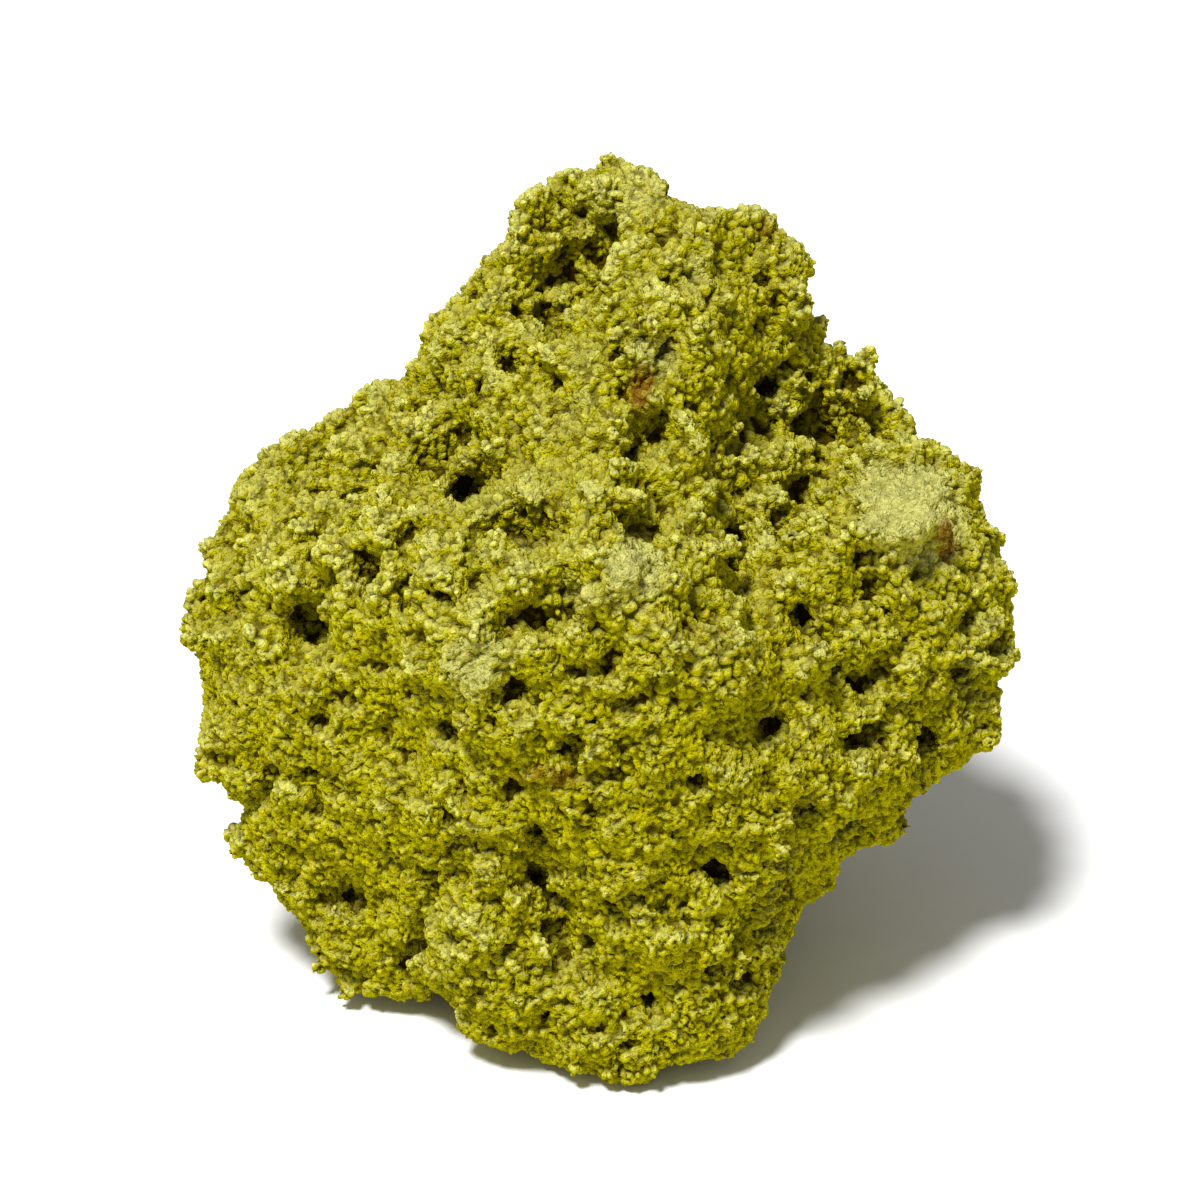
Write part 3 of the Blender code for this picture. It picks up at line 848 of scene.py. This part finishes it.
class SPECIMEN_OT_clay_skin(bpy.types.Operator):
    """The stone's skin of fused knobs and grains, with its pits, in pieces side by side round the stone"""

    bl_idname = "specimen.clay_skin"
    bl_label = "Clay skin"

    def execute(self, context):
        sizes = context.scene.clay_sizes
        solid = copy_of_solid("solid")
        skin = copy_of_solid("clay_skin")
        apply_modifier(skin, "REMESH", voxel_size=COPY_GRID)
        apply_modifier(skin, "SMOOTH", factor=0.5, iterations=4)
        press_hollows(skin)
        apply_nodes(skin, ground_tree(), {"Inset": sizes.inset, "Fineness": sizes.fineness})
        apply_modifier(skin, "REMESH", voxel_size=CORE_GRID)
        pits = pit_points(skin)
        lumps = lump_points(skin)
        apply_nodes(skin, knob_tree(pits, lumps), {
            "Shell": sizes.inset, "Spacing": sizes.knob_gap, "Radius": sizes.knob_radius,
            "Clump": sizes.clump_size, "Fineness": sizes.fineness, "Seed": sizes.seed})
        bpy.data.objects.remove(pits)
        bpy.data.objects.remove(lumps)
        apply_modifier(skin, "REMESH", voxel_size=sizes.skin_grid)
        mark_patches(skin, "dust", DUST)
        mark_patches(skin, "rust", RUST)
        apply_nodes(skin, porous_tree(solid), {
            "Spacing": sizes.void_gap, "Depth": sizes.void_depth, "Fineness": sizes.fineness})
        bpy.data.objects.remove(solid)
        apply_modifier(skin, "REMESH", voxel_size=sizes.skin_grid)
        apply_nodes(skin, crumb_tree(), {})
        mark_patches(skin, "dust", DUST)
        mark_patches(skin, "rust", RUST)
        apply_nodes(skin, weather_tree(), {})
        apply_nodes(skin, grain_tree(), {"Size": sizes.grain_size, "Height": sizes.grain_height})
        skin.data.shade_smooth()
        finish = clay_material("clay_finish", context.scene.clay_colours)
        tree = sector_tree()
        for name, start, stop in SKIN_PIECES:
            piece = bpy.data.objects.new(name, skin.data.copy())
            context.scene.collection.objects.link(piece)
            start, stop = math.radians(start), math.radians(stop)
            apply_nodes(piece, tree, {"From": start, "To": stop})
            add_bake_map(piece, start, stop)
            finish_piece(piece, finish)
            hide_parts(NODE)
        bpy.data.objects.remove(skin)
        return {"FINISHED"}


def add_bake_map(piece, start, stop):
    """Lays a piece out flat for its baked colours: the turn round the stone by the angle up or down."""
    mesh = piece.data
    places = np.empty(len(mesh.vertices) * 3, np.float32)
    mesh.vertices.foreach_get("co", places)
    x, y, z = (places.reshape(-1, 3) - (0.0, MIDDLE_Y, HEART.z)).T
    across = (np.arctan2(x, -y) - start) / (stop - start)
    up = np.arctan2(z, np.hypot(x, y)) / math.pi + 0.5
    corners = np.empty(len(mesh.loops), np.int32)
    mesh.loops.foreach_get("vertex_index", corners)
    flat = np.stack((np.clip(across, 0, 1), up), axis=1)[corners]
    mesh.uv_layers.new(name="OFBake").data.foreach_set("uv", flat.astype(np.float32).ravel())


# -------------------------------------------------------------------------------------- finishes

def clay_colour_group():
    """Clay colour with painted shade where a point lies deep, painted highlight where it faces the light,
    paler crests, dust, rust and variation from grain to grain.
    """
    tree = bpy.data.node_groups.new("Clay colour", "ShaderNodeTree")
    for name in COLOUR_NAMES:
        tree.interface.new_socket(name, in_out="INPUT", socket_type="NodeSocketColor")
    tree.interface.new_socket("Colour", in_out="OUTPUT", socket_type="NodeSocketColor")
    given = tree.nodes.new("NodeGroupInput").outputs
    end = tree.nodes.new("NodeGroupOutput")
    near, mid, far, dust, rust, tint, head = (
        add_node(tree, "ShaderNodeAttribute", attribute_name=name).outputs["Fac"]
        for name in ("near_depth", "mid_depth", "far_depth", "dust", "rust", "tint", "head"))
    place = add_node(tree, "ShaderNodeTexCoord").outputs["Object"]
    uneven = noise(tree, place, CREST_PATCH_SIZE, 4.0)
    # Painted shade: the deeper a point lies in a pit, a void or a crease between grains, the darker it is
    # painted.
    deep = stretched(tree, near, *NEAR_SHADE_SPAN)
    deep = maths(tree, "ADD", deep, stretched(tree, mid, *MID_SHADE_SPAN))
    deep = maths(tree, "ADD", deep, stretched(tree, head, *HEAD_SHADE_SPAN), clamp=True)
    # Crest: paler where a point stands out, partly pale dust and partly painted highlight, kept only where it
    # faces the light.
    high = maths(tree, "ADD", stretched(tree, mid, *MID_CREST_SPAN), stretched(tree, far, *FAR_CREST_SPAN))
    high = maths(tree, "ADD", high, stretched(tree, head, *HEAD_CREST_SPAN))
    high = maths(tree, "MULTIPLY", high, maths(tree, "MULTIPLY_ADD", uneven, 2.5, 0.75), clamp=True)
    # How far a point faces the light: this paints highlight on the lit sides.
    normal = add_node(tree, "ShaderNodeNewGeometry").outputs["Normal"]
    facing_light = vector_maths(tree, "DOT_PRODUCT", normal, tuple(Vector(PAINTED_LIGHT_FROM).normalized()))
    high = maths(tree, "MULTIPLY", high, stretched(tree, facing_light, *CREST_LIGHT_SPAN))
    # Painted shade on the dust: it is fainter where a point lies deep and where it faces away from the light.
    dusty = maths(tree, "MULTIPLY", dust, maths(tree, "MULTIPLY_ADD", deep, -0.6, 1.0), clamp=True)
    dusty = maths(tree, "MULTIPLY", dusty, stretched(tree, facing_light, *DUST_LIGHT_SPAN))

    def mixed(colour, other, share):
        links = {"Factor": share, 6: colour, 7: given[other]}
        return add_node(tree, "ShaderNodeMix", links, data_type="RGBA").outputs[2]

    # Painted highlight where a point faces the light.
    colour = mixed(given["Clay"], "Painted_highlight", stretched(tree, facing_light, *PAINTED_HIGHLIGHT_SPAN))
    colour = mixed(colour, "Crest_and_highlight", high)
    # Painted shade in deep places.
    colour = mixed(colour, "Painted_shade", deep)
    colour = mixed(colour, "Dust", dusty)
    patchy = stretched(tree, noise(tree, place, RUST_PATCH_SIZE, 3.0), *RUST_PATCH_SPAN)
    colour = mixed(colour, "Rust", maths(tree, "MULTIPLY", rust, patchy))
    width, strength = SPECKLE_WAVES
    speckle = maths(tree, "MULTIPLY", noise(tree, place, width), strength)
    light = maths(tree, "ADD", maths(tree, "MULTIPLY_ADD", tint, TINT_GAIN, TINT_BASE), speckle)
    width, strength = WARMTH_WAVES
    warmth = maths(tree, "MULTIPLY_ADD", noise(tree, place, width, 3.0), strength, 1.0)
    warm = add_node(tree, "ShaderNodeCombineXYZ", {"X": warmth, "Y": 1.0, "Z": 1.0}).outputs[0]
    colour = vector_maths(tree, "MULTIPLY", colour, warm)
    tree.links.new(scaled(tree, colour, light), end.inputs[0])
    return tree


def clay_material(name, colours):
    material = bpy.data.materials.new(name)
    material.use_nodes = True
    tree = material.node_tree
    shader = tree.nodes["Principled BSDF"]
    group = bpy.data.node_groups.get("Clay colour") or clay_colour_group()
    look = add_node(tree, "ShaderNodeGroup", node_tree=group)
    for colour in COLOUR_NAMES:
        look.inputs[colour].default_value = getattr(colours, colour.lower())
    tree.links.new(look.outputs["Colour"], shader.inputs["Base Color"])
    place = add_node(tree, "ShaderNodeTexCoord").outputs["Object"]
    powder = noise(tree, place, POWDER_SIZE)
    bump = add_node(tree, "ShaderNodeBump", {"Height": powder, "Distance": POWDER_HEIGHT}).outputs[0]
    tree.links.new(bump, shader.inputs["Normal"])
    shader.inputs["Roughness"].default_value = CLAY_ROUGHNESS
    shader.inputs["Specular IOR Level"].default_value = CLAY_SHEEN
    return material


def finish_piece(piece, material):
    piece.data.materials.clear()
    piece.data.materials.append(material)
    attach(piece, BODY)


# ------------------------------------------------------------------------------------- the stage

class SPECIMEN_OT_stage(bpy.types.Operator):
    """Pale floor, soft light and the camera"""

    bl_idname = "specimen.stage"
    bl_label = "Stage"

    def execute(self, context):
        bpy.ops.mesh.primitive_plane_add(size=FLOOR_SIZE, location=(0, 0, -FLOOR_DROP))
        floor = context.object
        floor.name = "floor"
        white = bpy.data.materials.new("floor_white")
        white.use_nodes = True
        shader = white.node_tree.nodes["Principled BSDF"]
        shader.inputs["Base Color"].default_value = (FLOOR_GREY, FLOOR_GREY, FLOOR_GREY, 1)
        shader.inputs["Roughness"].default_value = FLOOR_ROUGHNESS
        floor.data.materials.append(white)

        world = bpy.data.worlds.new("studio")
        world.use_nodes = True
        background = world.node_tree.nodes["Background"]
        background.inputs["Color"].default_value = (1, 1, 1, 1)
        background.inputs["Strength"].default_value = ROOM_LIGHT
        context.scene.world = world

        lamp = bpy.data.lights.new("key", "SUN")
        lamp.energy = SUN_LIGHT
        lamp.angle = SUN_SPREAD
        holder = bpy.data.objects.new("key", lamp)
        context.scene.collection.objects.link(holder)
        holder.rotation_mode = "QUATERNION"
        holder.rotation_quaternion = Vector(SUN_FROM).to_track_quat("Z", "Y")

        camera = bpy.data.cameras.new("camera")
        camera.lens = LENS
        camera.sensor_width = SENSOR
        holder = bpy.data.objects.new("camera", camera)
        context.scene.collection.objects.link(holder)
        holder.location = HEART + UP * CAMERA_UP + ACROSS * CAMERA_ACROSS + OUT * CAMERA_AWAY
        holder.rotation_mode = "QUATERNION"
        holder.rotation_quaternion = (-OUT).to_track_quat("-Z", "Y")
        context.scene.camera = holder
        context.scene.view_settings.view_transform = "Standard"
        return {"FINISHED"}


class SPECIMEN_PT_panel(bpy.types.Panel):
    bl_label = "Specimen"
    bl_space_type = "VIEW_3D"
    bl_region_type = "UI"
    bl_category = "Specimen"

    def draw(self, context):
        for group in (context.scene.clay_sizes, context.scene.clay_colours):
            for name in group.bl_rna.properties.keys():
                if name not in {"rna_type", "name"}:
                    self.layout.prop(group, name)
        for operator in OPERATORS:
            self.layout.operator(operator.bl_idname)


PROPERTY_GROUPS = (ClaySizes, ClayColours)
OPERATORS = (SPECIMEN_OT_clay_skin, SPECIMEN_OT_stage)
CLASSES = PROPERTY_GROUPS + OPERATORS + (SPECIMEN_PT_panel,)


def register():
    for item in CLASSES:
        bpy.utils.register_class(item)
    bpy.types.Scene.clay_sizes = PointerProperty(type=ClaySizes)
    bpy.types.Scene.clay_colours = PointerProperty(type=ClayColours)


def unregister():
    del bpy.types.Scene.clay_colours
    del bpy.types.Scene.clay_sizes
    for item in reversed(CLASSES):
        bpy.utils.unregister_class(item)


def main():
    register()
    bpy.ops.specimen.clay_skin()
    bpy.ops.specimen.stage()


if __name__ == "__main__":
    main()
